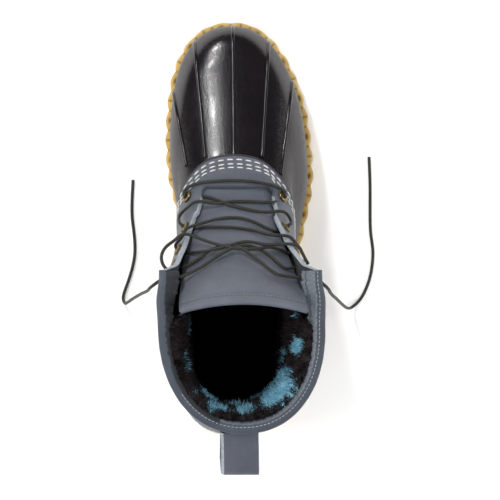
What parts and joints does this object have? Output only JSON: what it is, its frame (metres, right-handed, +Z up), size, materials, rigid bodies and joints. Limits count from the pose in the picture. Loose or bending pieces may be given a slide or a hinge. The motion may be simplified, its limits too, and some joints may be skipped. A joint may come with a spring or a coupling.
{
  "type": "winter boot",
  "caption": "Right-foot lace-up winter boot: ribbed rubber lower on a chain-edged sole, leather shaft with open throat, tongue, round lace and heel pull loop.",
  "frame": {"origin": "middle of the boot's box at the floor, without the free lace", "axes": "+Z up, -Y towards the toe, +X towards the inner (big toe) side of this right boot"},
  "size_m": [0.1836, 0.311, 0.186],
  "materials": {
    "sole_rubber": "matt gum rubber, slightly waxy",
    "lower_rubber": "glossy moulded rubber, near black",
    "shaft_leather": "slate full-grain leather, satin, white stitching",
    "tongue_leather": "slate full-grain leather, satin",
    "insole_felt": "dark fleece",
    "binding_leather": "slate leather strip, pale cut edge",
    "eyelet_brass": "antique brass, worn",
    "lace_cord": "waxed round braid, near black"
  },
  "bodies": {
    "root": {"outsole": "sole_rubber", "rubber_lower": "lower_rubber", "upper": "shaft_leather", "tongue": "tongue_leather", "insole": "insole_felt", "collar_binding": "binding_leather", "pull_loop": "binding_leather", "eyelet_inner_1": "eyelet_brass", "eyelet_inner_2": "eyelet_brass", "eyelet_inner_3": "eyelet_brass", "eyelet_inner_4": "eyelet_brass", "eyelet_inner_5": "eyelet_brass", "eyelet_outer_1": "eyelet_brass", "eyelet_outer_2": "eyelet_brass", "eyelet_outer_3": "eyelet_brass", "eyelet_outer_4": "eyelet_brass", "eyelet_outer_5": "eyelet_brass", "lace_bar": "lace_cord", "lace_cross_low": "lace_cord", "lace_cross_over": "lace_cord", "lace_cross_under": "lace_cord", "lace_knot": "lace_cord", "lace_end_inner": "lace_cord", "lace_end_outer": "lace_cord"}
  },
  "joints": []
}
